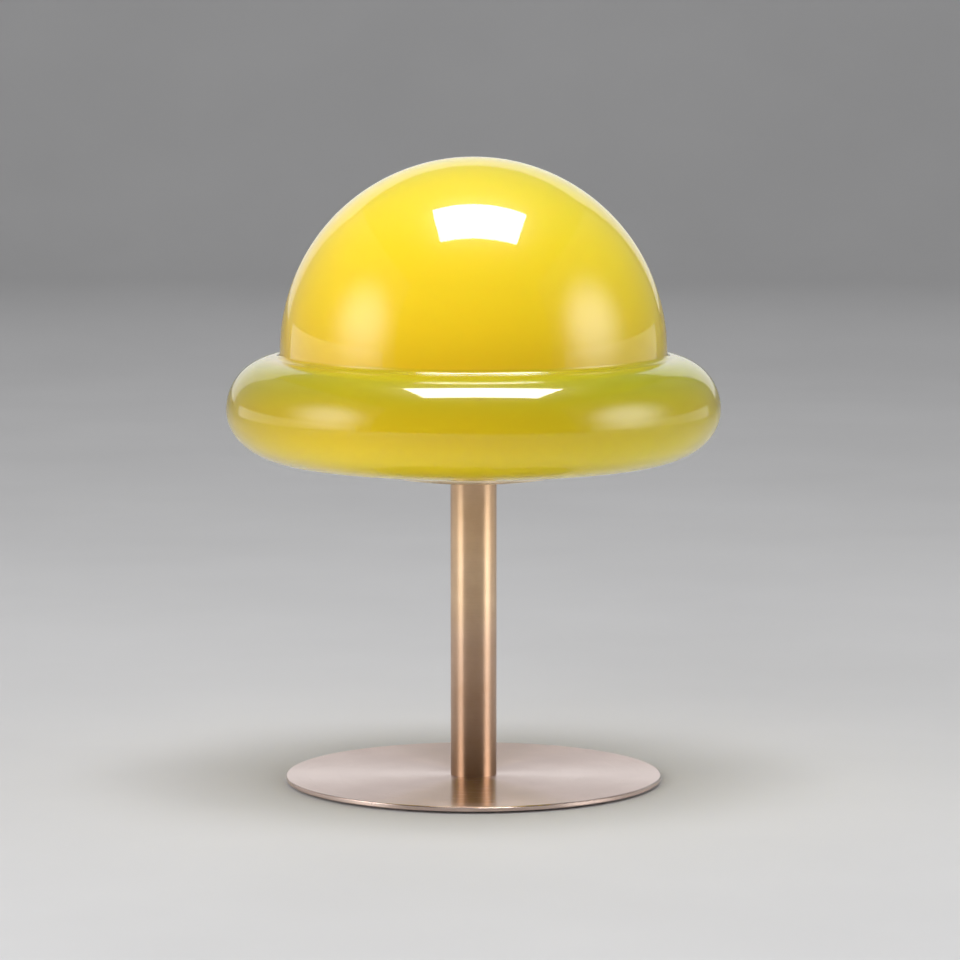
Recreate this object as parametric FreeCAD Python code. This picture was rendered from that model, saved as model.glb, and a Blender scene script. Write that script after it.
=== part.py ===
"""A mushroom-shaped table lamp: glass shade, brass stem and base, E14 lampholder and LED bulb.

Millimetres. +Z is up, the lamp stands on z = 0, and the stem's axis is the Z axis. The cable inlet faces +Y.
Every piece of the lamp is its own solid and is written to parts/NODE.step.
"""
import FreeCAD
import Part

import math
import os

# ---------------------------------------------------------------- driving sizes

# Base
pad_thickness = 1.0
pad_inset = 5.0
plate_radius = 77.0
plate_thickness = 2.0
plate_edge_radius = 0.5

# Stem: a brass tube closed by a plug at each end
stem_radius = 9.45
stem_wall = 1.0
stem_length = 123.5
foot_plug_height = 10.0
top_plug_height = 10.0

# Countersunk screws that hold the base plate to the foot plug
screw_count = 3
screw_radius = 1.5
screw_length = 9.0
screw_head_radius = 2.75
screw_head_height = 1.6
screw_edge = 2.6
screw_socket_radius = 1.1
screw_socket_depth = 0.9
screw_drill_margin = 1.0

# Cable inlet at the back of the stem
inlet_height = 17.0
inlet_bore_radius = 3.1
bush_wall = 0.8
bush_flange = 1.4
bush_flange_thickness = 1.5
bush_lip = 0.7
bush_lip_thickness = 1.2

# M10 hollow thread and its hardware
nipple_radius = 5.0
nipple_bore_radius = 3.6
nipple_inset = 1.0
nut_across_flats = 14.0
nut_height = 3.0
washer_radius = 9.0
washer_thickness = 0.8
washer_teeth = 12
washer_tooth_depth = 1.3
washer_tooth_share = 0.5

# Shade seat: dished brass tray, centring cup and silicone ring
tray_thickness = 1.2
tray_margin = 3.0
tray_bend_radius = 2.2
tray_height = 3.0
cup_thickness = 1.0
cup_bend_radius = 2.0
cup_height = 7.0
cup_clearance = 1.5
gasket_thickness = 1.0
gasket_margin = 0.3

# Glass shade
glass_wall = 3.0
neck_radius = 32.5
neck_side = 0.1
neck_fillet = 2.5
brim_overhang = 22.0
brim_lower_width = 27.0
brim_lower_height = 21.0
brim_upper_radius = 21.4
crease_fillet = 2.0
dome_radius = 79.0
dome_side = 0.25

# Lampholder
holder_radius = 14.0
holder_wall = 1.6
holder_neck_radius = 8.0
holder_neck_height = 3.0
holder_flare_height = 6.0
holder_cap_side = 3.0
spigot_height = 6.0
insert_height = 7.0
insert_boss_height = 2.0
insert_boss_radius = 9.0
terminal_width = 5.0
terminal_depth = 4.5
terminal_height = 4.5
terminal_offset = 6.4
terminal_screw_radius = 1.3
terminal_screw_start = 1.0
terminal_screw_length = 4.0
wire_hole_radius = 1.2
lock_screw_radius = 1.5
lock_screw_stand = 0.8
slot_width = 0.5
slot_depth = 0.6
skirt_rounding = 1.2
chamber_floor_thickness = 1.5

# Sprung centre contact of the lampholder
plunger_pin_radius = 0.9
plunger_head_radius = 2.4
plunger_head_height = 1.6
plunger_head_rounding = 0.6
plunger_stand = 1.5
plunger_travel = 1.0
spring_wire_radius = 0.2
spring_turns = 6
chamber_radius = 2.1

# E14 screw shell and bulb cap
thread_pitch = 2.82
thread_crest_radius = 6.95
thread_rib_radius = 0.8
thread_turns = 4.0
thread_start_gap = 0.2
shell_rib_radius = 0.5
shell_rib_depth = 0.35
cap_core_radius = 6.3
cap_shoulder = 0.8
cap_floor_thickness = 1.2
cap_collar_height = 2.5
shell_wall = 0.4
shell_length = 16.0
mouth_height = 2.0
insulator_height = 2.2
insulator_margin = 0.6
tip_radius = 2.2
tip_height = 1.4
tip_rounding = 0.5
shell_floor_hole_margin = 1.0

# Bulb body
bulb_radius = 22.5
bulb_neck_radius = 7.8
bulb_neck_height = 3.0
bulb_body_height = 24.0
bulb_globe_sink = 7.0
bulb_wall = 1.2
bulb_flare_pull = 0.45
board_thickness = 1.2
board_gap = 0.5
board_sink = 0.1
led_board_margin = 3.5
led_count = 9
led_size = 2.6
led_height = 0.7
driver_board_width = 10.0
driver_board_height = 15.0
capacitor_radius = 2.5
capacitor_length = 7.0
capacitor_drop = 8.0
coil_width = 5.0
coil_depth = 3.0
coil_height = 4.0
coil_drop = 6.0
bulb_headroom = 3.0

# Clearances
thread_clearance = 0.05
hole_clearance = 0.25
seat_gap = 0.1
contact_gap = 0.1
shell_clearance = 0.2

# ---------------------------------------------------------------- levels and sizes that follow

plate_top = pad_thickness + plate_thickness
tray_bottom = plate_top + stem_length
tray_top = tray_bottom + tray_thickness
cup_floor_top = tray_top + cup_thickness
nut_bottom = cup_floor_top + washer_thickness
nut_top = nut_bottom + nut_height

stem_bore_radius = stem_radius - stem_wall
screw_circle_radius = stem_bore_radius - screw_edge
inlet_z = plate_top + inlet_height
top_plug_bottom = tray_bottom - top_plug_height

neck_bore_radius = neck_radius - glass_wall
cup_radius = neck_bore_radius - cup_clearance
tray_radius = neck_radius + tray_margin

lip_z = tray_top + gasket_thickness + seat_gap
under_z = lip_z + glass_wall / 2 + neck_side + neck_fillet
brim_z = under_z + brim_lower_height
brim_radius = dome_radius + brim_overhang
brim_upper_centre = brim_radius - brim_upper_radius
brim_lower_centre = brim_radius - brim_lower_width
crease_centre = dome_radius + crease_fillet
crease_reach = brim_upper_radius + crease_fillet
crease_rise = math.sqrt(crease_reach ** 2 - (crease_centre - brim_upper_centre) ** 2)
crease_z = brim_z + crease_rise

holder_side_z = nut_top + holder_neck_height + holder_flare_height
spigot_bottom = holder_side_z + holder_cap_side
spigot_radius = holder_radius - holder_wall
insert_bottom = spigot_bottom + spigot_height
insert_top = insert_bottom + insert_height
shell_bottom = insert_top + insert_boss_height
shell_bore_radius = thread_crest_radius + shell_clearance
shell_radius = shell_bore_radius + shell_wall
shell_top = shell_bottom + shell_length
holder_top = shell_top + mouth_height
nipple_top = holder_side_z
lock_screw_z = nut_top + holder_neck_height / 2 + lock_screw_radius
terminal_z = insert_bottom - terminal_height / 2

plunger_top = shell_bottom + plunger_stand
plunger_head_bottom = plunger_top - plunger_head_height
chamber_floor = insert_bottom + chamber_floor_thickness
tip_bottom = plunger_top + contact_gap
insulator_bottom = tip_bottom + tip_height
cap_bottom = insulator_bottom + insulator_height
thread_bottom = cap_bottom + thread_rib_radius + thread_start_gap
thread_top = thread_bottom + thread_turns * thread_pitch
cap_top = thread_top + thread_rib_radius + cap_collar_height
bulb_body_top = cap_top + bulb_neck_height + bulb_body_height
bulb_globe_z = bulb_body_top + bulb_globe_sink
bulb_joint_radius = math.sqrt(bulb_radius ** 2 - bulb_globe_sink ** 2)
bulb_top = bulb_globe_z + bulb_radius
bulb_travel = thread_turns * thread_pitch

bulb_room_top = bulb_top + bulb_travel + bulb_headroom
dome_z = max(crease_z + dome_side, bulb_room_top + glass_wall - dome_radius)
lamp_height = dome_z + dome_radius

# ---------------------------------------------------------------- helpers

ORIGIN = FreeCAD.Vector(0, 0, 0)
UP = FreeCAD.Vector(0, 0, 1)
BACK = FreeCAD.Vector(0, 1, 0)


def at(radius, z):
    """A point of a turned profile, in the XZ plane."""
    return FreeCAD.Vector(radius, 0, z)


def line(start, end):
    """A straight edge between two (radius, z) pairs."""
    return Part.LineSegment(at(*start), at(*end)).toShape()


def on_circle(centre, radius, degrees):
    """The (radius, z) pair at an angle on a circle about a centre pair."""
    angle = math.radians(degrees)
    return centre[0] + radius * math.cos(angle), centre[1] + radius * math.sin(angle)


def arc(centre, radius, start, end):
    """A circular edge about a centre pair, from one angle to another in degrees."""
    points = [on_circle(centre, radius, a) for a in (start, (start + end) / 2, end)]
    return Part.Arc(*[at(*p) for p in points]).toShape()


def quarter_ellipse(centre, width, height):
    """The quarter of an ellipse from straight out of its centre to straight below it."""
    start, diagonal = (centre[0] + width, centre[1]), math.sqrt(0.5)
    middle = (centre[0] + width * diagonal, centre[1] - height * diagonal)
    end = (centre[0], centre[1] - height)
    if width >= height:
        ellipse = Part.Ellipse(at(*start), at(*end), at(*centre))
    else:
        ellipse = Part.Ellipse(at(*end), at(*start), at(*centre))
    ends = sorted([ellipse.parameter(at(*start)), ellipse.parameter(at(*end))])
    inside = ellipse.parameter(at(*middle))
    if ends[0] <= inside <= ends[1]:
        return Part.ArcOfEllipse(ellipse, ends[0], ends[1]).toShape()
    return Part.ArcOfEllipse(ellipse, ends[1], ends[0] + 2 * math.pi).toShape()


def bezier(points):
    """A Bezier edge through the plane of the profile, from its control pairs."""
    curve = Part.BezierCurve()
    curve.setPoles([at(*p) for p in points])
    return curve.toShape()


def turned(edges):
    """The solid of revolution of a closed profile about the Z axis."""
    wire = Part.Wire(Part.__sortEdges__(edges))
    solid = Part.Face(wire).revolve(ORIGIN, UP, 360)
    return Part.Solid(solid) if solid.ShapeType != "Solid" else solid


def turned_outline(corners):
    """The solid of revolution of a straight-sided closed outline."""
    return turned([line(a, b) for a, b in zip(corners, corners[1:] + corners[:1])])


def disc(radius, bottom, top):
    """A solid cylinder about the Z axis."""
    return Part.makeCylinder(radius, top - bottom, FreeCAD.Vector(0, 0, bottom))


def ring(bore, radius, bottom, top):
    """A cylinder about the Z axis with a bore right through it."""
    return disc(radius, bottom, top).cut(disc(bore, bottom, top))


def rod(radius, start, end, axis, x=0.0, z=0.0):
    """A cylinder along an axis through a point over the X axis, from one distance along it to another."""
    base = FreeCAD.Vector(x, 0, z) + axis * start
    return Part.makeCylinder(radius, end - start, base, axis)


def prism(corners, bottom, top):
    """A straight prism over corners in the XY plane."""
    points = [FreeCAD.Vector(x, y, bottom) for x, y in corners]
    return Part.Face(Part.makePolygon(points + points[:1])).extrude(UP * (top - bottom))


def round_corners(radius, count, turn=0.0):
    """The corners of a regular polygon about the Z axis."""
    angles = [2 * math.pi * k / count + turn for k in range(count)]
    return [(radius * math.cos(a), radius * math.sin(a)) for a in angles]


def helix_rod(rod_radius, helix_radius, pitch, height, bottom):
    """A round rod wound into a helix about the Z axis."""
    path = Part.makeHelix(pitch, height, helix_radius)
    path.translate(FreeCAD.Vector(0, 0, bottom))
    start = FreeCAD.Vector(helix_radius, 0, bottom)
    slope = FreeCAD.Vector(0, 2 * math.pi * helix_radius, pitch)
    section = Part.Wire(Part.Circle(start, slope, rod_radius).toShape())
    return Part.Wire(path.Edges).makePipeShell([section], True, True)


def slotted_screw(radius, start, end, x, z):
    """A grub screw along -Y with a screwdriver slot across its outer end."""
    slot = Part.makeBox(2 * radius, slot_depth, slot_width)
    slot.translate(FreeCAD.Vector(x - radius, -end, z - slot_width / 2))
    return rod(radius, start, end, -BACK, x=x, z=z).cut(slot)


def export(name, shape):
    """Writes one sub-part and prints its volume."""
    for solid in shape.Solids:
        if not solid.isValid() or solid.Volume <= 0:
            raise ValueError(name + " is not a valid solid")
    Part.Compound(shape.Solids).exportStep("parts/" + name + ".step")
    print(name, len(shape.Solids), "solid(s)", round(shape.Volume, 1), "mm3")


# ---------------------------------------------------------------- base


def screw_places():
    """The axes of the base screws, as X and Y."""
    return round_corners(screw_circle_radius, screw_count, math.pi / 2)


def screw_body(shank_radius, head_radius, length, x, y):
    """A countersunk screw, or the hole for one, with its head flush in the plate's underside."""
    base = FreeCAD.Vector(x, y, pad_thickness)
    shank = Part.makeCylinder(shank_radius, length, base)
    return shank.fuse(Part.makeCone(head_radius, shank_radius, screw_head_height, base))


def base_pad():
    return disc(plate_radius - pad_inset, 0, pad_thickness)


def base_plate():
    plate = disc(plate_radius, pad_thickness, plate_top)
    rims = [e for e in plate.Edges if e.BoundBox.DiagonalLength > plate_radius]
    plate = plate.makeFillet(plate_edge_radius, rims)
    hole_radius = screw_radius + hole_clearance
    sink_radius = screw_head_radius + hole_clearance
    for x, y in screw_places():
        plate = plate.cut(screw_body(hole_radius, sink_radius, screw_length, x, y))
    return plate


def base_screws():
    screws = []
    for x, y in screw_places():
        socket = prism(
            [(x + dx, y + dy) for dx, dy in round_corners(screw_socket_radius, 6)],
            pad_thickness,
            pad_thickness + screw_socket_depth,
        )
        screws.append(screw_body(screw_radius, screw_head_radius, screw_length, x, y).cut(socket))
    return Part.Compound(screws)


# ---------------------------------------------------------------- stem


def stem_foot_plug():
    plug = disc(stem_bore_radius, plate_top, plate_top + foot_plug_height)
    drill_length = screw_length + screw_drill_margin
    for x, y in screw_places():
        base = FreeCAD.Vector(x, y, pad_thickness)
        plug = plug.cut(Part.makeCylinder(screw_radius + thread_clearance, drill_length, base))
    return plug


def stem_tube():
    tube = ring(stem_bore_radius, stem_radius, plate_top, tray_bottom)
    hole_radius = inlet_bore_radius + bush_wall + hole_clearance
    return tube.cut(rod(hole_radius, 0, 2 * stem_radius, BACK, z=inlet_z))


def cable_bush():
    sleeve_radius = inlet_bore_radius + bush_wall
    inner_end = math.sqrt(stem_bore_radius ** 2 - (sleeve_radius + bush_lip) ** 2) - bush_lip_thickness
    outer_end = stem_radius + bush_flange_thickness
    sleeve = rod(sleeve_radius, inner_end, outer_end, BACK, z=inlet_z)
    lip_end = inner_end + bush_lip_thickness - thread_clearance
    lip = rod(sleeve_radius + bush_lip, inner_end, lip_end, BACK, z=inlet_z)
    flange = rod(sleeve_radius + bush_flange, 0, outer_end, BACK, z=inlet_z)
    flange = flange.cut(disc(stem_radius, plate_top, tray_bottom))
    bush = sleeve.fuse([lip, flange]).removeSplitter()
    return bush.cut(rod(inlet_bore_radius, 0, 2 * outer_end, BACK, z=inlet_z))


def stem_top_plug():
    return ring(nipple_radius + thread_clearance, stem_bore_radius, top_plug_bottom, tray_bottom)


def threaded_nipple():
    return ring(nipple_bore_radius, nipple_radius, top_plug_bottom + nipple_inset, nipple_top)


# ---------------------------------------------------------------- shade seat


def dish(bore, radius, bottom, height, thickness, bend):
    """A round dish of even thickness with a turned-up side, a rounded rim and a hole in its floor."""
    top = bottom + height
    floor_top = bottom + thickness
    centre = (radius - bend, bottom + bend)
    rim = (radius - thickness / 2, top - thickness / 2)
    return turned([
        line((bore, bottom), (centre[0], bottom)),
        arc(centre, bend, -90, 0),
        line((radius, centre[1]), (radius, rim[1])),
        arc(rim, thickness / 2, 0, 180),
        line((radius - thickness, rim[1]), (radius - thickness, centre[1])),
        arc(centre, bend - thickness, 0, -90),
        line((centre[0], floor_top), (bore, floor_top)),
        line((bore, floor_top), (bore, bottom)),
    ])


def shade_tray():
    bore = nipple_radius + hole_clearance
    return dish(bore, tray_radius, tray_bottom, tray_height, tray_thickness, tray_bend_radius)


def centring_cup():
    bore = nipple_radius + hole_clearance
    return dish(bore, cup_radius, tray_top, cup_height, cup_thickness, cup_bend_radius)


def tray_gasket():
    bore = cup_radius + hole_clearance
    return ring(bore, neck_radius + gasket_margin, tray_top, tray_top + gasket_thickness)


def lock_washer():
    washer = ring(nipple_radius + hole_clearance, washer_radius, cup_floor_top, nut_bottom)
    tooth_step = 2 * math.pi * washer_radius / washer_teeth
    notch_width = tooth_step * (1 - washer_tooth_share)
    for k in range(washer_teeth):
        notch = Part.makeBox(2 * washer_tooth_depth, notch_width, washer_thickness)
        corner = FreeCAD.Vector(washer_radius - washer_tooth_depth, -notch_width / 2, cup_floor_top)
        notch.translate(corner)
        notch.rotate(ORIGIN, UP, 360 * k / washer_teeth)
        washer = washer.cut(notch)
    return washer


def nipple_nut():
    corner_radius = nut_across_flats / 2 / math.cos(math.pi / 6)
    nut = prism(round_corners(corner_radius, 6), nut_bottom, nut_top)
    chamfer = corner_radius - nut_across_flats / 2
    barrel = turned_outline([
        (0, nut_bottom),
        (nut_across_flats / 2, nut_bottom),
        (corner_radius, nut_bottom + chamfer / 2),
        (corner_radius, nut_top - chamfer / 2),
        (nut_across_flats / 2, nut_top),
        (0, nut_top),
    ])
    return nut.common(barrel).cut(disc(nipple_radius + thread_clearance, nut_bottom, nut_top))


# ---------------------------------------------------------------- lampholder


def lampholder_cap():
    neck_top = nut_top + holder_neck_height
    entry = nipple_radius + thread_clearance
    inner_radius = spigot_radius - holder_wall
    shoulder = (holder_radius, holder_side_z)
    body = turned([
        line((entry, nut_top), (holder_neck_radius, nut_top)),
        line((holder_neck_radius, nut_top), (holder_neck_radius, neck_top)),
        bezier([
            (holder_neck_radius, neck_top),
            (holder_radius, neck_top),
            (holder_radius, (neck_top + holder_side_z) / 2),
            shoulder,
        ]),
        line(shoulder, (holder_radius, spigot_bottom)),
        line((holder_radius, spigot_bottom), (spigot_radius, spigot_bottom)),
        line((spigot_radius, spigot_bottom), (spigot_radius, insert_bottom)),
        line((spigot_radius, insert_bottom), (inner_radius, insert_bottom)),
        line((inner_radius, insert_bottom), (inner_radius, holder_side_z)),
        line((inner_radius, holder_side_z), (entry, holder_side_z)),
        line((entry, holder_side_z), (entry, nut_top)),
    ])
    return body.cut(rod(lock_screw_radius + thread_clearance, 0, 2 * holder_radius, -BACK, z=lock_screw_z))


def holder_lock_screw():
    start = nipple_radius + seat_gap
    return slotted_screw(lock_screw_radius, start, holder_neck_radius + lock_screw_stand, 0.0, lock_screw_z)


def terminal_blocks():
    blocks = []
    bottom = insert_bottom - terminal_height
    screw_hole_radius = terminal_screw_radius + thread_clearance
    for x in (-terminal_offset, terminal_offset):
        block = Part.makeBox(terminal_width, terminal_depth, terminal_height)
        block.translate(FreeCAD.Vector(x - terminal_width / 2, -terminal_depth / 2, bottom))
        wire_hole = rod(wire_hole_radius, 0, terminal_height, UP, x=x, z=bottom)
        screw_hole = rod(screw_hole_radius, 0, terminal_depth, -BACK, x=x, z=terminal_z)
        blocks.append(block.cut([wire_hole, screw_hole]))
    return Part.Compound(blocks)


def terminal_screws():
    start = terminal_screw_start
    end = start + terminal_screw_length
    places = (-terminal_offset, terminal_offset)
    return Part.Compound([slotted_screw(terminal_screw_radius, start, end, x, terminal_z) for x in places])


def lampholder_insert():
    insert = disc(spigot_radius - hole_clearance, insert_bottom, insert_top)
    boss = disc(insert_boss_radius, insert_top, shell_bottom)
    chamber = disc(chamber_radius, chamber_floor, shell_bottom)
    mouth_bottom = plunger_head_bottom - plunger_travel - seat_gap
    mouth = disc(plunger_head_radius + hole_clearance, mouth_bottom, shell_bottom)
    return insert.fuse(boss).removeSplitter().cut([chamber, mouth])


def contact_spring():
    coil_radius = plunger_pin_radius + spring_wire_radius + hole_clearance
    bottom = chamber_floor + spring_wire_radius
    height = plunger_head_bottom - spring_wire_radius - bottom
    return helix_rod(spring_wire_radius, coil_radius, height / spring_turns, height, bottom)


def contact_plunger():
    pin_bottom = chamber_floor + plunger_travel + seat_gap
    head_corner = plunger_head_rounding
    return turned([
        line((0, pin_bottom), (plunger_pin_radius, pin_bottom)),
        line((plunger_pin_radius, pin_bottom), (plunger_pin_radius, plunger_head_bottom)),
        line((plunger_pin_radius, plunger_head_bottom), (plunger_head_radius, plunger_head_bottom)),
        line((plunger_head_radius, plunger_head_bottom), (plunger_head_radius, plunger_top - head_corner)),
        arc((plunger_head_radius - head_corner, plunger_top - head_corner), head_corner, 0, 90),
        line((plunger_head_radius - head_corner, plunger_top), (0, plunger_top)),
        line((0, plunger_top), (0, pin_bottom)),
    ])


def e14_shell():
    """A cup with a thread inside, half a pitch away from the bulb's own when the bulb is home."""
    hole = plunger_head_radius + shell_floor_hole_margin
    floor_top = shell_bottom + shell_wall
    cup = turned_outline([
        (hole, shell_bottom),
        (shell_radius, shell_bottom),
        (shell_radius, shell_top),
        (shell_bore_radius, shell_top),
        (shell_bore_radius, floor_top),
        (hole, floor_top),
    ])
    first = thread_bottom + thread_pitch / 2
    turns = math.floor((shell_top - shell_rib_radius - first) / thread_pitch)
    helix_radius = shell_bore_radius - shell_rib_depth + shell_rib_radius
    rib = helix_rod(shell_rib_radius, helix_radius, thread_pitch, turns * thread_pitch, first)
    wall_middle = (shell_bore_radius + shell_radius) / 2
    return cup.fuse(rib.common(disc(wall_middle, shell_bottom, shell_top)))


def lampholder_skirt():
    shell_room = shell_radius + hole_clearance
    clamp_z = insert_top + seat_gap
    rounding = skirt_rounding
    inner = insert_boss_radius + hole_clearance
    mouth_bottom = shell_top + seat_gap
    return turned([
        line((spigot_radius + thread_clearance, spigot_bottom), (holder_radius, spigot_bottom)),
        line((holder_radius, spigot_bottom), (holder_radius, holder_top - rounding)),
        arc((holder_radius - rounding, holder_top - rounding), rounding, 0, 90),
        line((holder_radius - rounding, holder_top), (shell_bore_radius, holder_top)),
        line((shell_bore_radius, holder_top), (shell_bore_radius, mouth_bottom)),
        line((shell_bore_radius, mouth_bottom), (shell_room, mouth_bottom)),
        line((shell_room, mouth_bottom), (shell_room, shell_bottom + seat_gap)),
        line((shell_room, shell_bottom + seat_gap), (inner, shell_bottom + seat_gap)),
        line((inner, shell_bottom + seat_gap), (inner, clamp_z)),
        line((inner, clamp_z), (spigot_radius + thread_clearance, clamp_z)),
        line((spigot_radius + thread_clearance, clamp_z), (spigot_radius + thread_clearance, spigot_bottom)),
    ])


# ---------------------------------------------------------------- bulb


def bulb_tip_contact():
    crown = tip_rounding
    return turned([
        line((0, tip_bottom), (tip_radius - crown, tip_bottom)),
        arc((tip_radius - crown, tip_bottom + crown), crown, -90, 0),
        line((tip_radius, tip_bottom + crown), (tip_radius, insulator_bottom)),
        line((tip_radius, insulator_bottom), (0, insulator_bottom)),
        line((0, insulator_bottom), (0, tip_bottom)),
    ])


def bulb_insulator():
    return turned_outline([
        (0, insulator_bottom),
        (tip_radius + insulator_margin, insulator_bottom),
        (cap_core_radius - cap_shoulder, cap_bottom),
        (0, cap_bottom),
    ])


def bulb_screw_cap():
    floor_top = cap_bottom + cap_floor_thickness
    cup = turned_outline([
        (0, cap_bottom),
        (cap_core_radius - cap_shoulder, cap_bottom),
        (cap_core_radius, cap_bottom + cap_shoulder),
        (cap_core_radius, cap_top),
        (cap_core_radius - shell_wall, cap_top),
        (cap_core_radius - shell_wall, floor_top),
        (0, floor_top),
    ])
    rib = helix_rod(
        thread_rib_radius,
        thread_crest_radius - thread_rib_radius,
        thread_pitch,
        thread_top - thread_bottom,
        thread_bottom,
    )
    inside = disc(cap_core_radius - shell_wall, cap_bottom, cap_top)
    return cup.fuse(rib.cut(inside))


def bulb_side(inset):
    """The flared side of the bulb's body as a Bezier edge, moved in by an inset."""
    neck_top = cap_top + bulb_neck_height
    lean = bulb_globe_sink / bulb_joint_radius
    rise = bulb_body_height / 3
    return bezier([
        (bulb_neck_radius - inset, neck_top),
        (bulb_neck_radius - inset, neck_top + bulb_body_height * bulb_flare_pull),
        (bulb_joint_radius - inset - rise * lean, bulb_body_top - rise),
        (bulb_joint_radius - inset, bulb_body_top),
    ])


def bulb_housing():
    neck_top = cap_top + bulb_neck_height
    floor_top = cap_top + bulb_wall
    inner_neck = bulb_neck_radius - bulb_wall
    return turned([
        line((0, cap_top), (bulb_neck_radius, cap_top)),
        line((bulb_neck_radius, cap_top), (bulb_neck_radius, neck_top)),
        bulb_side(0.0),
        line((bulb_joint_radius, bulb_body_top), (bulb_joint_radius - bulb_wall, bulb_body_top)),
        bulb_side(bulb_wall),
        line((inner_neck, neck_top), (inner_neck, floor_top)),
        line((inner_neck, floor_top), (0, floor_top)),
        line((0, floor_top), (0, cap_top)),
    ])


def driver_board():
    """An upright board with a capacitor on its back and a coil on its front."""
    bottom = cap_top + bulb_wall + board_gap
    top = bottom + driver_board_height
    face = board_thickness / 2
    board = Part.makeBox(driver_board_width, board_thickness, driver_board_height)
    board.translate(FreeCAD.Vector(-driver_board_width / 2, -face, bottom))
    capacitor_place = FreeCAD.Vector(0, face + capacitor_radius - board_sink, top - capacitor_drop)
    capacitor = Part.makeCylinder(capacitor_radius, capacitor_length, capacitor_place)
    coil = Part.makeBox(coil_width, coil_depth, coil_height)
    coil.translate(FreeCAD.Vector(-coil_width / 2, -face - coil_depth, top - coil_drop))
    return board.fuse([capacitor, coil])


def led_board():
    top = bulb_body_top - board_gap
    board = disc(bulb_joint_radius - led_board_margin, top - board_thickness, top)
    leds = []
    for x, y in round_corners(bulb_joint_radius / 2, led_count):
        led = Part.makeBox(led_size, led_size, led_height)
        led.translate(FreeCAD.Vector(x - led_size / 2, y - led_size / 2, top))
        leds.append(led)
    return board.fuse(leds)


def bulb_diffuser():
    centre = (0, bulb_globe_z)
    start = -math.degrees(math.asin(bulb_globe_sink / bulb_radius))
    inner = bulb_radius - bulb_wall
    inner_start = -math.degrees(math.asin(bulb_globe_sink / inner))
    return turned([
        arc(centre, bulb_radius, start, 90),
        line((0, bulb_top), (0, bulb_top - bulb_wall)),
        arc(centre, inner, 90, inner_start),
        line(on_circle(centre, inner, inner_start), on_circle(centre, bulb_radius, start)),
    ])


# ---------------------------------------------------------------- glass shade


def glass_shade():
    """One blown piece: a domed crown, a crease, a rolled brim and a short neck with a round lip."""
    crease = (crease_centre, crease_z)
    upper = (brim_upper_centre, brim_z)
    lower = (brim_lower_centre, brim_z)
    neck = (neck_radius + neck_fillet, under_z - neck_fillet)
    half_wall = glass_wall / 2
    lip = (neck_radius - half_wall, lip_z + half_wall)
    to_brim = math.degrees(math.atan2(upper[1] - crease[1], upper[0] - crease[0])) % 360
    from_brim = to_brim - 180
    dome = (0, dome_z)
    return turned([
        arc(dome, dome_radius, 90, 0),
        line((dome_radius, dome_z), (dome_radius, crease_z)),
        arc(crease, crease_fillet, 180, to_brim),
        arc(upper, brim_upper_radius, from_brim, 0),
        quarter_ellipse(lower, brim_lower_width, brim_lower_height),
        line((brim_lower_centre, under_z), (neck[0], under_z)),
        arc(neck, neck_fillet, 90, 180),
        line((neck_radius, neck[1]), (neck_radius, lip[1])),
        arc(lip, half_wall, 0, -180),
        line((neck_bore_radius, lip[1]), (neck_bore_radius, neck[1])),
        arc(neck, neck_fillet + glass_wall, 180, 90),
        line((neck[0], under_z + glass_wall), (brim_lower_centre, under_z + glass_wall)),
        quarter_ellipse(lower, brim_lower_width - glass_wall, brim_lower_height - glass_wall),
        arc(upper, brim_upper_radius - glass_wall, 0, from_brim),
        arc(crease, crease_fillet + glass_wall, to_brim, 180),
        line((dome_radius - glass_wall, crease_z), (dome_radius - glass_wall, dome_z)),
        arc(dome, dome_radius - glass_wall, 0, 90),
        line((0, lamp_height - glass_wall), (0, lamp_height)),
    ])


# ---------------------------------------------------------------- the whole lamp

PIECES = [
    base_pad,
    base_plate,
    base_screws,
    stem_foot_plug,
    stem_tube,
    cable_bush,
    stem_top_plug,
    threaded_nipple,
    shade_tray,
    centring_cup,
    tray_gasket,
    lock_washer,
    nipple_nut,
    lampholder_cap,
    holder_lock_screw,
    terminal_blocks,
    terminal_screws,
    lampholder_insert,
    contact_spring,
    contact_plunger,
    e14_shell,
    lampholder_skirt,
    bulb_tip_contact,
    bulb_insulator,
    bulb_screw_cap,
    bulb_housing,
    driver_board,
    led_board,
    bulb_diffuser,
    glass_shade,
]

os.makedirs("parts", exist_ok=True)
for piece in PIECES:
    export(piece.__name__, piece())
print("overall: radius", round(brim_radius, 2), "height", round(lamp_height, 2))
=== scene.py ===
"""The looks of the mushroom-shaped table lamp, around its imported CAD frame. Metres, +Z up, front at -Y."""
import math

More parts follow.
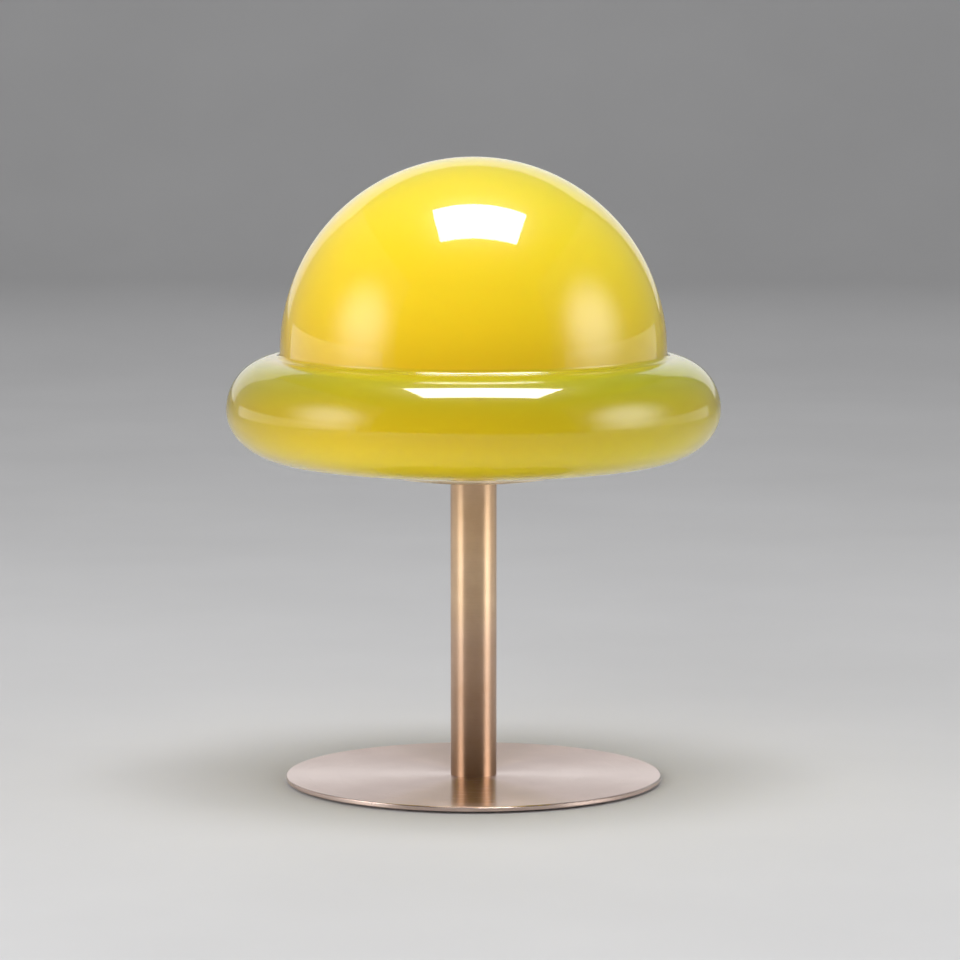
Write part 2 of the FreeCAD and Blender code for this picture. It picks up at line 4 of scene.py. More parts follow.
import bpy
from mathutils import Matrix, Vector


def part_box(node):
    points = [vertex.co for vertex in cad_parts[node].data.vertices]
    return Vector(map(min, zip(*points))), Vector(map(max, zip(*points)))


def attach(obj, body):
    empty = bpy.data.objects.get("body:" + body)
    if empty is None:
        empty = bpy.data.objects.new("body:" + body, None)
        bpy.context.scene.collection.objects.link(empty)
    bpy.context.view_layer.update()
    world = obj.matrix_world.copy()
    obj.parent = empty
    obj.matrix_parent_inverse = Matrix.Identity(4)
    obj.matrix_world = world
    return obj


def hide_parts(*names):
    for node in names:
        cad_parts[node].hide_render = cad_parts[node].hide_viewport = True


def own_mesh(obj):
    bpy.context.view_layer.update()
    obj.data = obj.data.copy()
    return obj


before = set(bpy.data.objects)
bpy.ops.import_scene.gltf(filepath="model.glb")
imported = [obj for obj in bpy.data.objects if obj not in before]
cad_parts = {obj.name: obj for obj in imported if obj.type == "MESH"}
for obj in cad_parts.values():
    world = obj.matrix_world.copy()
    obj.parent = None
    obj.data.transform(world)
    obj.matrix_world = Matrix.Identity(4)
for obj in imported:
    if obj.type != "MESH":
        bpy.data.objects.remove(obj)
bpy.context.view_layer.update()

# ---------------------------------------------------------------- sizes that the looks need

SHADE_LOW, SHADE_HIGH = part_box("glass_shade")
STEM_LOW, STEM_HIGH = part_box("stem_tube")

LIP_Z = SHADE_LOW.z
TOP_Z = SHADE_HIGH.z
BRIM_RADIUS = SHADE_HIGH.x

# The glass shade's own sizes, which the frame doesn't carry.
GLASS_WALL = 0.003
DOME_RADIUS = 0.079
NECK_RADIUS = 0.0325
NECK_FILLET = 0.0025
NECK_SIDE = 0.0001
BRIM_UPPER_RADIUS = 0.0214
BRIM_LOWER_WIDTH = 0.027
BRIM_LOWER_HEIGHT = 0.021
CREASE_FILLET = 0.002

UNDER_Z = LIP_Z + GLASS_WALL / 2 + NECK_SIDE + NECK_FILLET
BRIM_Z = UNDER_Z + BRIM_LOWER_HEIGHT
DOME_Z = TOP_Z - DOME_RADIUS
UPPER_CENTRE = (BRIM_RADIUS - BRIM_UPPER_RADIUS, BRIM_Z)
LOWER_CENTRE = (BRIM_RADIUS - BRIM_LOWER_WIDTH, BRIM_Z)
CREASE_RADIUS = DOME_RADIUS + CREASE_FILLET
CREASE_REACH = BRIM_UPPER_RADIUS + CREASE_FILLET
CREASE_Z = BRIM_Z + math.sqrt(CREASE_REACH ** 2 - (CREASE_RADIUS - UPPER_CENTRE[0]) ** 2)

# How finely the shade is divided, in parts of a turn and in degrees, and two lengths that count as none.
ROUND_SEGMENTS = 288
ARC_STEP = 1.5
FILLET_STEP = 3
INNER_FILLET_STEP = 4
NECK_STEP = 6
LIP_STEP = 9
SAME_POINT = 1e-6
ON_AXIS = 1e-7

# ---------------------------------------------------------------- mesh helpers


def arc(centre, width, height, start, end, step=ARC_STEP):
    """Points (radius, z) along an ellipse about a centre, from one angle to another in degrees."""
    count = max(2, math.ceil(abs(end - start) / step))
    angles = [math.radians(start + (end - start) * k / count) for k in range(count + 1)]
    return [(centre[0] + width * math.cos(a), centre[1] + height * math.sin(a)) for a in angles]


def without_repeats(points):
    """The same outline with each point that repeats the one before it left out."""
    kept = [points[0]]
    for r, z in points[1:]:
        if math.hypot(r - kept[-1][0], z - kept[-1][1]) > SAME_POINT:
            kept.append((r, z))
    return kept


def new_piece(name, vertices, faces):
    """A smooth-shaded mesh object in the scene."""
    mesh = bpy.data.meshes.new(name)
    mesh.from_pydata(vertices, [], faces)
    mesh.shade_smooth()
    piece = bpy.data.objects.new(name, mesh)
    bpy.context.scene.collection.objects.link(piece)
    return piece


def lathe(name, outline):
    """A solid of revolution from an outline that starts and ends on the axis, with a single point there."""
    vertices, rings = [], []
    for r, z in outline:
        if r < ON_AXIS:
            rings.append([len(vertices)] * ROUND_SEGMENTS)
            vertices.append((0.0, 0.0, z))
            continue
        rings.append(list(range(len(vertices), len(vertices) + ROUND_SEGMENTS)))
        turns = [2 * math.pi * k / ROUND_SEGMENTS for k in range(ROUND_SEGMENTS)]
        vertices += [(r * math.cos(a), r * math.sin(a), z) for a in turns]
    faces = []
    for low, high in zip(rings, rings[1:]):
        for k in range(ROUND_SEGMENTS):
            n = (k + 1) % ROUND_SEGMENTS
            corners = list(dict.fromkeys([low[k], low[n], high[n], high[k]]))
            if len(corners) > 2:
                faces.append(corners)
    return new_piece(name, vertices, faces)


# ---------------------------------------------------------------- node helpers


class Nodes:
    """A material's node tree, with short calls for the nodes that the materials share."""

    def __init__(self, name):
        self.material = bpy.data.materials.new(name)
        self.material.use_nodes = True
        self.tree = self.material.node_tree
        self.tree.nodes.clear()
        self.output = self.add("ShaderNodeOutputMaterial")
        self.shader = self.add("ShaderNodeBsdfPrincipled")
        self.link(self.shader, "BSDF", self.output, "Surface")

    def add(self, kind, **settings):
        node = self.tree.nodes.new(kind)
        for key, value in settings.items():
            setattr(node, key, value)
        return node

    def link(self, source, out, target, into):
        self.tree.links.new(source.outputs[out], target.inputs[into])

    def set(self, **values):
        """Sets shader sockets; an underscore in a name stands for a space."""
        for key, value in values.items():
            self.shader.inputs[key.replace("_", " ")].default_value = value

    def place(self, scale=(1, 1, 1)):
        """Object coordinates in metres, stretched by a scale."""
        coordinates = self.add("ShaderNodeTexCoord")
        mapping = self.add("ShaderNodeMapping")
        mapping.inputs["Scale"].default_value = scale
        self.link(coordinates, "Object", mapping, "Vector")
        return mapping

    def noise(self, scale, stretch=(1, 1, 1), detail=3.0, roughness=0.5):
        """Noise in object space."""
        noise = self.add("ShaderNodeTexNoise")
        noise.inputs["Scale"].default_value = scale
        noise.inputs["Detail"].default_value = detail
        noise.inputs["Roughness"].default_value = roughness
        self.link(self.place(stretch), "Vector", noise, "Vector")
        return noise

    def split_place(self):
        """Object coordinates as three numbers."""
        split = self.add("ShaderNodeSeparateXYZ")
        self.link(self.place(), "Vector", split, "Vector")
        return split

    def ramp(self, source, out, stops):
        """A colour ramp over a value, from (position, colour) stops."""
        ramp = self.add("ShaderNodeValToRGB")
        elements = ramp.color_ramp.elements
        while len(elements) < len(stops):
            elements.new(0.5)
        for element, (position, colour) in zip(elements, stops):
            element.position = position
            element.color = (*colour, 1.0)
        self.link(source, out, ramp, "Fac")
        return ramp

    def range(self, source, out, low, high, to_low, to_high):
        """A value moved from one range to another."""
        node = self.add("ShaderNodeMapRange")
        node.inputs["From Min"].default_value = low
        node.inputs["From Max"].default_value = high
        node.inputs["To Min"].default_value = to_low
        node.inputs["To Max"].default_value = to_high
        self.link(source, out, node, "Value")
        return node

    def multiply(self, source, out, other, other_out, factor):
        """The first colour multiplied by the second, by a fixed share."""
        node = self.add("ShaderNodeMix", data_type="RGBA", blend_type="MULTIPLY")
        node.inputs[0].default_value = factor
        self.tree.links.new(source.outputs[out], node.inputs[6])
        self.tree.links.new(other.outputs[other_out], node.inputs[7])
        return node

    def bump(self, source, out, strength, distance):
        """Relief in the shader's normal."""
        bump = self.add("ShaderNodeBump")
        bump.inputs["Strength"].default_value = strength
        bump.inputs["Distance"].default_value = distance
        self.link(source, out, bump, "Height")
        self.link(bump, "Normal", self.shader, "Normal")
        return bump


# ---------------------------------------------------------------- materials: glass

# Painted shade across the shade from -X to +X: duller at far -X and greener at +X, for its two sides lit
# differently. Then colours over its height from the brim's underside to the top.
PAINTED_SIDE_SHADE_STOPS = [
    (0.05, (0.80, 0.83, 0.86)),
    (0.25, (1.00, 1.00, 1.00)),
    (0.50, (1.00, 1.00, 1.00)),
    (0.85, (0.84, 0.95, 1.00)),
]
# The glass's own amber, greener on the brim, with painted light and shade in it: lighter on the brim's lower
# side, a painted dark reflection on its upper side, and lighter towards the dome's top.
GLASS_AND_PAINTED_LIGHT_STOPS = [
    (0.00, (0.96, 0.72, 0.020)),
    (0.08, (0.94, 0.68, 0.014)),
    (0.16, (0.72, 0.51, 0.006)),
    (0.23, (0.57, 0.41, 0.005)),
    (0.29, (0.46, 0.37, 0.007)),
    (0.352, (0.47, 0.42, 0.014)),
    (0.375, (0.80, 0.52, 0.008)),
    (0.50, (0.88, 0.58, 0.010)),
    (0.75, (0.92, 0.65, 0.018)),
    (1.0, (0.96, 0.76, 0.06)),
]
DRIFT_SHARE = 0.03


def glass_colour_and_painted_light(nodes):
    """Amber glass with slow drifts, and painted light and shade: greener and darker on the brim's upper side
    as a painted dark reflection, lighter on the brim's lower side and towards the dome's top, greener
    towards +X and duller at far -X for the two sides lit differently.
    """
    split = nodes.split_place()
    height = nodes.range(split, "Z", UNDER_Z, TOP_Z, 0.0, 1.0)
    drift = nodes.noise(scale=9.0, detail=2.0)
    wobble = nodes.add("ShaderNodeMath", operation="MULTIPLY_ADD")
    wobble.inputs[1].default_value = DRIFT_SHARE
    nodes.link(drift, "Fac", wobble, 0)
    nodes.link(height, "Result", wobble, 2)
    # The glass colour over its height, with painted light and shade in it.
    amber = nodes.ramp(wobble, "Value", GLASS_AND_PAINTED_LIGHT_STOPS)
    # Painted shade and light across the shade, from -X to +X.
    across = nodes.range(split, "X", -BRIM_RADIUS, BRIM_RADIUS, 0.0, 1.0)
    side = nodes.ramp(across, "Result", PAINTED_SIDE_SHADE_STOPS)
    return nodes.multiply(amber, "Color", side, "Color", 1.0)


def cased_glass():
    """The shade's outer face: a clear coat over amber glass over white."""
    nodes = Nodes("amber_cased_glass")
    nodes.link(glass_colour_and_painted_light(nodes), 2, nodes.shader, "Base Color")
    nodes.set(Roughness=0.3, IOR=1.5, Specular_IOR_Level=0.1)
    nodes.set(Coat_Weight=1.0, Coat_Roughness=0.02, Coat_IOR=1.52)
    nodes.set(Subsurface_Weight=0.35, Subsurface_Scale=0.006, Subsurface_Radius=(1.0, 0.75, 0.25))
    ripple = nodes.noise(scale=14.0, detail=1.5)
    nodes.bump(ripple, "Fac", strength=0.25, distance=0.0006)
    return nodes.material


def white_casing():
    """The shade's inner face: opal white glass tinted by the amber behind it."""
    nodes = Nodes("opal_casing")
    cloud = nodes.noise(scale=30.0, detail=3.0)
    colour = nodes.ramp(cloud, "Fac", [(0.3, (0.86, 0.78, 0.50)), (0.7, (0.93, 0.87, 0.62))])
    nodes.link(colour, "Color", nodes.shader, "Base Color")
    nodes.set(Roughness=0.12, IOR=1.5, Subsurface_Weight=0.3, Subsurface_Scale=0.004)
    nodes.set(Subsurface_Radius=(1.0, 0.9, 0.6))
    ripple = nodes.noise(scale=22.0, detail=1.0)
    nodes.bump(ripple, "Fac", strength=0.2, distance=0.0005)
    return nodes.material


# ---------------------------------------------------------------- materials: metals

# How much smoother and rougher a surface gets over its fine marks.
BRUSH_SPREAD = (0.03, 0.04)
MARKS_SPREAD = (0.06, 0.10)
GRAIN_SPREAD = (0.05, 0.07)


def brushed_brass(name, tones, groove, rough, pull, streak, relief, stretch, painted_shade_stops=None):
    """Antique brass brushed round the Z axis. The pull draws its highlights out across the brush lines.

    The painted shade stops darken the metal over the stem's height, from its foot up: painted shade and
    reflection, darker towards the foot and a little at the top under the shade.
    """
    nodes = Nodes(name)
    tangent = nodes.add("ShaderNodeTangent", direction_type="RADIAL", axis="Z")
    nodes.link(tangent, "Tangent", nodes.shader, "Tangent")
    lines = brush_lines(nodes, groove, stretch)
    patina = nodes.noise(scale=38.0, detail=5.0, roughness=0.6)
    tone = nodes.ramp(patina, "Fac", [(0.3, tones[0]), (0.72, tones[1])])
    streaks = nodes.ramp(lines, 0, [(0.25, (0.86, 0.86, 0.86)), (0.75, (1.0, 1.0, 1.0))])
    colour = nodes.multiply(tone, "Color", streaks, "Color", streak)
    if painted_shade_stops:
        # Painted shade and reflection over the stem's height.
        height = nodes.range(nodes.split_place(), "Z", STEM_LOW.z, STEM_HIGH.z, 0.0, 1.0)
        painted_shade_ramp = nodes.ramp(height, "Result", painted_shade_stops)
        colour = nodes.multiply(colour, 2, painted_shade_ramp, "Color", 1.0)
    nodes.link(colour, 2, nodes.shader, "Base Color")
    roughness = nodes.range(lines, 0, 0.0, 1.0, rough - BRUSH_SPREAD[0], rough + BRUSH_SPREAD[1])
    nodes.link(roughness, "Result", nodes.shader, "Roughness")
    nodes.set(Metallic=1.0, Anisotropic=pull, Anisotropic_Rotation=0.25)
    nodes.bump(lines, 0, strength=relief, distance=0.00003)
    return nodes.material


def brush_lines(nodes, groove, stretch):
    """Noise drawn out into rings round the Z axis: it varies with radius and height, hardly with angle."""
    split = nodes.split_place()
    flat = nodes.add("ShaderNodeCombineXYZ")
    nodes.link(split, "X", flat, "X")
    nodes.link(split, "Y", flat, "Y")
    radius = nodes.add("ShaderNodeVectorMath", operation="LENGTH")
    nodes.link(flat, "Vector", radius, 0)
    angle = nodes.add("ShaderNodeMath", operation="ARCTAN2")
    nodes.link(split, "Y", angle, 0)
    nodes.link(split, "X", angle, 1)
    drawn = nodes.add("ShaderNodeCombineXYZ")
    for source, out, into, factor in (
        (radius, "Value", "X", groove * stretch[0]),
        (split, "Z", "Y", groove * stretch[1]),
        (angle, "Value", "Z", stretch[2]),
    ):
        scaled = nodes.add("ShaderNodeMath", operation="MULTIPLY")
        scaled.inputs[1].default_value = factor
        nodes.link(source, out, scaled, 0)
        nodes.link(scaled, "Value", drawn, into)
    lines = nodes.add("ShaderNodeTexNoise")
    lines.inputs["Scale"].default_value = 1.0
    lines.inputs["Detail"].default_value = 4.0
    lines.inputs["Roughness"].default_value = 0.65
    nodes.link(drawn, "Vector", lines, "Vector")
    return lines


# Brush lines on a flat face and on an upright one: how they vary with radius, height and angle.
FLAT_BRUSH = (1.0, 0.0, 1.6)
UPRIGHT_BRUSH = (0.0, 1.0, 0.9)
# Painted shade and reflection on the stem, as stops over its height: darker towards its foot and a little at
# its top under the shade.
PAINTED_STEM_SHADE = [
    (0.00, (0.60, 0.52, 0.50)),
    (0.24, (0.74, 0.70, 0.76)),
    (0.45, (0.82, 0.78, 0.82)),
    (0.58, (1.00, 1.00, 1.00)),
    (0.80, (1.00, 0.97, 0.92)),
    (1.00, (0.80, 0.76, 0.72)),
]


def base_brass():
    tones = ((0.71, 0.55, 0.49), (0.80, 0.64, 0.58))
    return brushed_brass("base_brass", tones, groove=2600.0, rough=0.26, pull=0.97, streak=0.3, relief=0.02,
                         stretch=FLAT_BRUSH)


def stem_brass():
    tones = ((0.78, 0.53, 0.33), (0.92, 0.68, 0.47))
    return brushed_brass("stem_brass", tones, groove=3200.0, rough=0.34, pull=0.92, streak=0.5, relief=0.05,
                         stretch=UPRIGHT_BRUSH, painted_shade_stops=PAINTED_STEM_SHADE)


# Paler than the base's brass: painted light on the tray and the cup, which sit in the shade's shadow.
def painted_light_tray_brass():
    tones = ((0.93, 0.79, 0.58), (0.98, 0.88, 0.70))
    return brushed_brass("painted_light_tray_brass", tones, groove=2600.0, rough=0.36, pull=0.9, streak=0.2, relief=0.02,
                         stretch=FLAT_BRUSH)


def plain_metal(name, dark, light, rough):
    """Machined or plated metal with faint tool marks and tarnish."""
    nodes = Nodes(name)
    tarnish = nodes.noise(scale=220.0, detail=4.0)
    colour = nodes.ramp(tarnish, "Fac", [(0.3, dark), (0.7, light)])
    nodes.link(colour, "Color", nodes.shader, "Base Color")
    marks = nodes.noise(scale=900.0, stretch=(0.25, 0.25, 3.0))
    roughness = nodes.range(marks, "Fac", 0.2, 0.8, rough - MARKS_SPREAD[0], rough + MARKS_SPREAD[1])
    nodes.link(roughness, "Result", nodes.shader, "Roughness")
    nodes.set(Metallic=1.0)
    nodes.bump(marks, "Fac", strength=0.1, distance=0.00003)
    return nodes.material


# ---------------------------------------------------------------- materials: plastics and the rest


def moulded(name, low, high, rough, grain, relief, **shader):
    """A moulded material: a slight colour drift, and a fine grain in its relief and gloss."""
    nodes = Nodes(name)
    drift = nodes.noise(scale=55.0, detail=2.0)
    colour = nodes.ramp(drift, "Fac", [(0.3, low), (0.7, high)])
    nodes.link(colour, "Color", nodes.shader, "Base Color")
    fine = nodes.noise(scale=grain, detail=3.0)
    roughness = nodes.range(fine, "Fac", 0.25, 0.75, rough - GRAIN_SPREAD[0], rough + GRAIN_SPREAD[1])
    nodes.link(roughness, "Result", nodes.shader, "Roughness")
    nodes.set(**shader)
    nodes.bump(fine, "Fac", strength=0.3, distance=relief)
    return nodes.material


def table_surface():
    nodes = Nodes("pale_floor")
    grain = nodes.noise(scale=6.0, detail=3.0)
    colour = nodes.ramp(grain, "Fac", [(0.3, (0.58, 0.58, 0.59)), (0.7, (0.61, 0.61, 0.62))])
    nodes.link(colour, "Color", nodes.shader, "Base Color")
    nodes.set(Roughness=0.75)
    return nodes.material


def panel_glow(name, colour, edge, centre, reach):
    """An emitting cloth panel with a lamp close behind one spot of it, at the panel's own origin."""
    nodes = Nodes(name)
    coordinates = nodes.add("ShaderNodeTexCoord")
    away = nodes.add("ShaderNodeVectorMath", operation="LENGTH")
    nodes.link(coordinates, "Object", away, 0)
    near = nodes.range(away, "Value", 0.0, reach, 1.0, 0.0)
    near.interpolation_type = "SMOOTHERSTEP"
    spot = nodes.add("ShaderNodeMath", operation="POWER")
    spot.inputs[1].default_value = HOT_FALLOFF
    nodes.link(near, "Result", spot, 0)
    strength = nodes.add("ShaderNodeMath", operation="MULTIPLY_ADD")
    strength.inputs[1].default_value = centre - edge
    strength.inputs[2].default_value = edge
    nodes.link(spot, "Value", strength, 0)
    light = nodes.add("ShaderNodeEmission")
    light.inputs["Color"].default_value = (*colour, 1.0)
    nodes.link(strength, "Value", light, "Strength")
    nodes.link(light, "Emission", nodes.output, "Surface")
    return nodes.material


# ---------------------------------------------------------------- the glass shade


CREASE_ANGLE = math.degrees(math.atan2(UPPER_CENTRE[1] - CREASE_Z, UPPER_CENTRE[0] - CREASE_RADIUS)) % 360


def outer_outline():
    """The shade's outer face, from the top down to the lip's lowest point."""
    points = arc((0, DOME_Z), DOME_RADIUS, DOME_RADIUS, 90, 0)
    crease = (CREASE_RADIUS, CREASE_Z)
    points += arc(crease, CREASE_FILLET, CREASE_FILLET, 180, CREASE_ANGLE, step=FILLET_STEP)
    points += arc(UPPER_CENTRE, BRIM_UPPER_RADIUS, BRIM_UPPER_RADIUS, CREASE_ANGLE - 180, 0)
    points += arc(LOWER_CENTRE, BRIM_LOWER_WIDTH, BRIM_LOWER_HEIGHT, 0, -90)
    neck = (NECK_RADIUS + NECK_FILLET, UNDER_Z - NECK_FILLET)
    points += arc(neck, NECK_FILLET, NECK_FILLET, 90, 180, step=NECK_STEP)
    half = GLASS_WALL / 2
    points += arc((NECK_RADIUS - half, LIP_Z + half), half, half, 0, -90, step=LIP_STEP)
    return without_repeats(points)


def inner_outline():
    """The shade's inner face, from the lip's lowest point up to the top."""
    half = GLASS_WALL / 2
    points = arc((NECK_RADIUS - half, LIP_Z + half), half, half, -90, -180, step=LIP_STEP)
    neck = (NECK_RADIUS + NECK_FILLET, UNDER_Z - NECK_FILLET)
    inside = NECK_FILLET + GLASS_WALL
    points += arc(neck, inside, inside, 180, 90, step=NECK_STEP)
    points += arc(LOWER_CENTRE, BRIM_LOWER_WIDTH - GLASS_WALL, BRIM_LOWER_HEIGHT - GLASS_WALL, -90, 0)
    inside = BRIM_UPPER_RADIUS - GLASS_WALL
    points += arc(UPPER_CENTRE, inside, inside, 0, CREASE_ANGLE - 180)
    inside = CREASE_FILLET + GLASS_WALL
    points += arc((CREASE_RADIUS, CREASE_Z), inside, inside, CREASE_ANGLE, 180, step=INNER_FILLET_STEP)
    inside = DOME_RADIUS - GLASS_WALL
    points += arc((0, DOME_Z), inside, inside, 0, 90)
    return without_repeats(points)


def build_shade():
    outer, inner = outer_outline(), inner_outline()
    outline = without_repeats(outer + inner)
    shade = lathe("shade_glass", outline)
    shade.data.materials.append(cased_glass())
    shade.data.materials.append(white_casing())
    changeover = (len(outer) - 1) * ROUND_SEGMENTS
    for face in shade.data.polygons:
        face.material_index = 1 if face.index >= changeover else 0
    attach(shade, "shade")
    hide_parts("glass_shade")


# ---------------------------------------------------------------- the centre contact's spring

SPRING_LOW, SPRING_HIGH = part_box("contact_spring")
SPRING_WIRE = 0.0002
SPRING_TURNS = 6
SPRING_STEPS = 48
WIRE_SIDES = 12


def wire_ring(share):
    """The wire's round section at a share of the spring's length."""
    coil = SPRING_HIGH.x - SPRING_WIRE
    rise = SPRING_HIGH.z - SPRING_LOW.z - 2 * SPRING_WIRE
    turn = 2 * math.pi * SPRING_TURNS * share
    outward = Vector((math.cos(turn), math.sin(turn), 0))
    along = Vector((-outward.y * coil, outward.x * coil, rise / (2 * math.pi * SPRING_TURNS))).normalized()
    across = outward.cross(along)
    centre = outward * coil + Vector((0, 0, SPRING_LOW.z + SPRING_WIRE + rise * share))
    angles = [2 * math.pi * k / WIRE_SIDES for k in range(WIRE_SIDES)]
    return [tuple(centre + (outward * math.cos(a) + across * math.sin(a)) * SPRING_WIRE) for a in angles]


def build_spring():
    """A coil spring of round wire, in place of the CAD spring."""
    count = SPRING_TURNS * SPRING_STEPS
    vertices = [point for k in range(count + 1) for point in wire_ring(k / count)]
    faces = [tuple(range(WIRE_SIDES))]
    for k in range(count):
        for side in range(WIRE_SIDES):
            here, after = k * WIRE_SIDES + side, k * WIRE_SIDES + (side + 1) % WIRE_SIDES
            faces.append((after, here, here + WIRE_SIDES, after + WIRE_SIDES))
    faces.append(tuple(reversed(range(count * WIRE_SIDES, (count + 1) * WIRE_SIDES))))
    spring = new_piece("contact_coil", vertices, faces)
    steel = plain_metal("spring_steel", (0.44, 0.44, 0.45), (0.60, 0.60, 0.60), rough=0.28)
    spring.data.materials.append(steel)
    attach(spring, "stand")
    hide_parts("contact_spring")
    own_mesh(spring)


# ---------------------------------------------------------------- CAD nodes and their materials


def finish_node(material, *names):
    """Puts one material on CAD nodes."""
    for name in names:
        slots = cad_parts[name].data.materials
        slots.clear()
        slots.append(material)


def dress_frame():
    finish_node(base_brass(), "base_plate")
    finish_node(painted_light_tray_brass(), "shade_tray", "centring_cup")
    finish_node(stem_brass(), "stem_tube")
    brass = plain_metal("machined_brass", (0.62, 0.45, 0.20), (0.74, 0.56, 0.28), rough=0.26)
    finish_node(brass, "nipple_nut", "terminal_blocks", "contact_plunger", "e14_shell")
    zinc = plain_metal("zinc_plate", (0.50, 0.50, 0.49), (0.64, 0.64, 0.63), rough=0.34)
    finish_node(zinc, "base_screws", "stem_foot_plug", "stem_top_plug", "threaded_nipple", "lock_washer")
    finish_node(zinc, "holder_lock_screw", "terminal_screws")
    nickel = plain_metal("nickel_plate", (0.58, 0.57, 0.54), (0.70, 0.69, 0.66), rough=0.2)
    finish_node(nickel, "bulb_screw_cap", "bulb_tip_contact")
    foam = moulded("pad_foam", (0.020, 0.020, 0.022), (0.032, 0.032, 0.034),
                   rough=0.9, grain=1400.0, relief=0.0002)
    finish_node(foam, "base_pad")
    silicone = moulded("silicone", (0.70, 0.71, 0.70), (0.80, 0.81, 0.80),
                       rough=0.35, grain=300.0, relief=0.00003, Subsurface_Weight=0.4,
                       Subsurface_Scale=0.002)
    finish_node(silicone, "tray_gasket")
    clear = moulded("clear_plastic", (0.80, 0.82, 0.82), (0.88, 0.89, 0.89),
                    rough=0.12, grain=200.0, relief=0.00003,
                    Transmission_Weight=0.8, IOR=1.49)
    finish_node(clear, "cable_bush")
    cream = moulded("holder_plastic", (0.62, 0.60, 0.54), (0.70, 0.68, 0.61),
                    rough=0.36, grain=800.0, relief=0.00004)
    finish_node(cream, "lampholder_cap", "lampholder_skirt", "lampholder_insert")
    white = moulded("bulb_plastic", (0.78, 0.78, 0.77), (0.84, 0.84, 0.83),
                    rough=0.3, grain=700.0, relief=0.00003)
    finish_node(white, "bulb_housing")
    opal = moulded("opal_plastic", (0.86, 0.86, 0.83), (0.92, 0.92, 0.89),
                   rough=0.42, grain=600.0, relief=0.00002,
                   Subsurface_Weight=0.6, Subsurface_Scale=0.004)
    finish_node(opal, "bulb_diffuser")
    black = moulded("black_insulator", (0.018, 0.015, 0.018), (0.03, 0.026, 0.03),
                    rough=0.15, grain=400.0, relief=0.00002)
    finish_node(black, "bulb_insulator")
    board = moulded("circuit_board", (0.55, 0.62, 0.56), (0.64, 0.70, 0.65),
                    rough=0.4, grain=500.0, relief=0.00002)
    finish_node(board, "driver_board", "led_board")


# ---------------------------------------------------------------- studio

FLOOR_HALF = 7.0
FLOOR_FRONT = -8.4
WALL_BACK = 2.6
WALL_TOP = 3.2
WALL_BEND = 0.9
BEND_STEPS = 15

CAMERA_DISTANCE = 2.047
CAMERA_HEIGHT = 0.363
CAMERA_LENS = 189.1
CAMERA_SENSOR = 36.0
CAMERA_REACH = 50.0
AIM = Vector((0.00264, 0.0, 0.1245))

TOP_BOX_PLACE = (0.075, -0.11, 1.7)
TOP_BOX_SIZE = (1.05, 0.72)
TOP_BOX_POWER = 46.0
TOP_SOFT_POWER = 17.5
FILL_PLACE = (-0.85, -1.75, 0.9)
FILL_TARGET = (0.0, 0.0, 0.15)
FILL_SIZE = (1.6, 1.2)
FILL_POWER = 20.5
BACK_PLACE = (-0.25, 2.0, 0.86)
BACK_SIZE = (2.6, 1.3)
BACK_POWER = 6.4

# The side panels: a spot is (y, z), and a glow is the strength at the edge and at the spot.
SIDE_DISTANCE = 1.25
SIDE_FRONT = -1.2
SIDE_BACK = 1.9
SIDE_TOP = 1.6
SIDE_FOOT = 0.02
HOT_REACH = 1.0
HOT_FALLOFF = 2.0
LEFT_SPOT = (-0.5, 0.57)
LEFT_GLOW = (0.34, 3.9)
RIGHT_SPOT = (-0.36, 0.53)
RIGHT_GLOW = (0.28, 4.4)
PANEL_COLOUR = (1.0, 0.985, 0.96)
STRIP_DISTANCE = SIDE_DISTANCE - 0.03
STRIP_SIZE = (2.2, 0.24)
STRIP_MIDDLE = (0.2, 0.13)
LEFT_STRIP_POWER = 1.1
RIGHT_STRIP_POWER = 0.9

WORLD_COLOUR = (0.9, 0.92, 0.95, 1.0)
WORLD_STRENGTH = 0.12


def build_floor():
    """A pale floor that curves up into a wall well behind the lamp."""
    foot = WALL_BACK - WALL_BEND
    corners = [(FLOOR_FRONT, 0.0), (foot, 0.0)]
    for k in range(1, BEND_STEPS + 1):
        a = math.radians(90 * k / BEND_STEPS)
        corners.append((foot + WALL_BEND * math.sin(a), WALL_BEND - WALL_BEND * math.cos(a)))
    corners.append((WALL_BACK, WALL_TOP))
    vertices = [(x, y, z) for y, z in corners for x in (-FLOOR_HALF, FLOOR_HALF)]
    faces = [(2 * k, 2 * k + 1, 2 * k + 3, 2 * k + 2) for k in range(len(corners) - 1)]
    floor = new_piece("floor", vertices, faces)
    floor.data.materials.append(table_surface())


def area_light(name, place, target, size, size_y, power):
    """A rectangular light that the camera doesn't see, facing a target."""
    data = bpy.data.lights.new(name, "AREA")
    data.shape = "RECTANGLE"
    data.size, data.size_y = size, size_y
    data.energy = power
    light = bpy.data.objects.new(name, data)
    light.location = place
    light.rotation_euler = (Vector(target) - Vector(place)).to_track_quat("-Z", "Y").to_euler()
    bpy.context.scene.collection.objects.link(light)
    light.visible_camera = False
    return light


def glow_panel(name, corners, origin, edge, centre, reach):
    """A diffusing panel that the camera doesn't see, with its brightest spot at its origin."""
    origin = Vector(origin)
    panel = new_piece(name, [tuple(Vector(c) - origin) for c in corners], [(0, 1, 2, 3)])
    panel.location = origin
    panel.data.materials.append(panel_glow(name + "_light", PANEL_COLOUR, edge, centre, reach))
    panel.visible_camera = False
    panel.visible_shadow = False


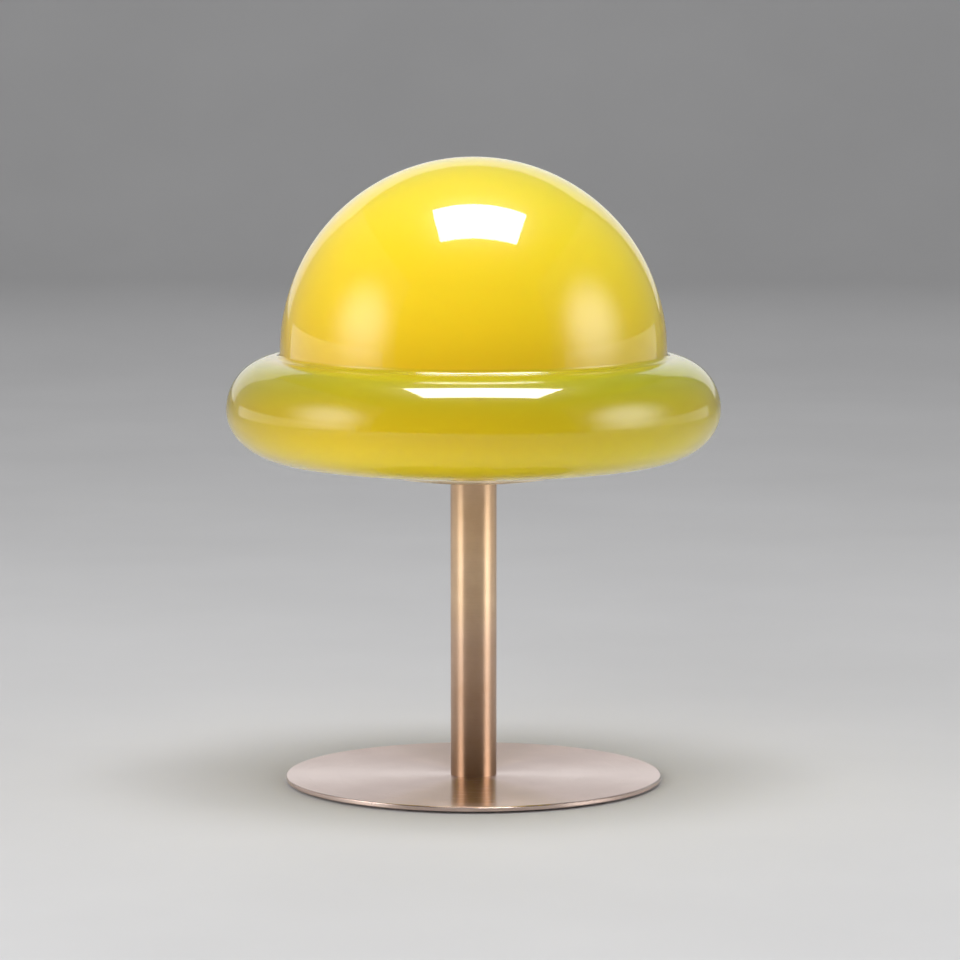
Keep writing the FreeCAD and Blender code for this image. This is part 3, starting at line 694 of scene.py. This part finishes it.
def side_panel(name, side, spot, edge, centre):
    """A tall panel along one side of the lamp, from well in front of it to further behind it."""
    x = side * SIDE_DISTANCE
    corners = [(x, SIDE_FRONT, SIDE_FOOT), (x, SIDE_BACK, SIDE_FOOT)]
    corners += [(x, SIDE_BACK, SIDE_TOP), (x, SIDE_FRONT, SIDE_TOP)]
    glow_panel(name, corners, (x, *spot), edge, centre, HOT_REACH)


def low_strip(name, side, power):
    """A long low light beside the lamp, seen only in its reflections: it fills the stem's outer sides."""
    place = Vector((side * STRIP_DISTANCE, *STRIP_MIDDLE))
    strip = area_light(name, place, (0.0, place.y, place.z), *STRIP_SIZE, power)
    strip.visible_diffuse = False


def build_studio():
    build_floor()
    place = Vector(TOP_BOX_PLACE)
    below = (place.x, place.y, 0)
    area_light("top_softbox", place, below, *TOP_BOX_SIZE, TOP_BOX_POWER).visible_diffuse = False
    area_light("top_soft", place, below, *TOP_BOX_SIZE, TOP_SOFT_POWER).visible_glossy = False
    fill = area_light("front_fill", FILL_PLACE, FILL_TARGET, *FILL_SIZE, FILL_POWER)
    fill.visible_glossy = False
    side_panel("left_panel", -1, LEFT_SPOT, *LEFT_GLOW)
    side_panel("right_panel", 1, RIGHT_SPOT, *RIGHT_GLOW)
    low_strip("left_strip", -1, LEFT_STRIP_POWER)
    low_strip("right_strip", 1, RIGHT_STRIP_POWER)
    area_light("back_softbox", BACK_PLACE, (BACK_PLACE[0], 0, BACK_PLACE[2]), *BACK_SIZE, BACK_POWER)
    world = bpy.data.worlds.new("studio")
    world.use_nodes = True
    background = world.node_tree.nodes["Background"]
    background.inputs["Color"].default_value = WORLD_COLOUR
    background.inputs["Strength"].default_value = WORLD_STRENGTH
    bpy.context.scene.world = world


def build_camera():
    data = bpy.data.cameras.new("camera")
    data.lens = CAMERA_LENS
    data.sensor_width = CAMERA_SENSOR
    data.clip_end = CAMERA_REACH
    camera = bpy.data.objects.new("camera", data)
    camera.location = (0.0, -CAMERA_DISTANCE, CAMERA_HEIGHT)
    camera.rotation_euler = (AIM - camera.location).to_track_quat("-Z", "Y").to_euler()
    bpy.context.scene.collection.objects.link(camera)
    bpy.context.scene.camera = camera


build_camera()
build_studio()
build_shade()
build_spring()
dress_frame()
bpy.context.scene.view_settings.view_transform = "Standard"
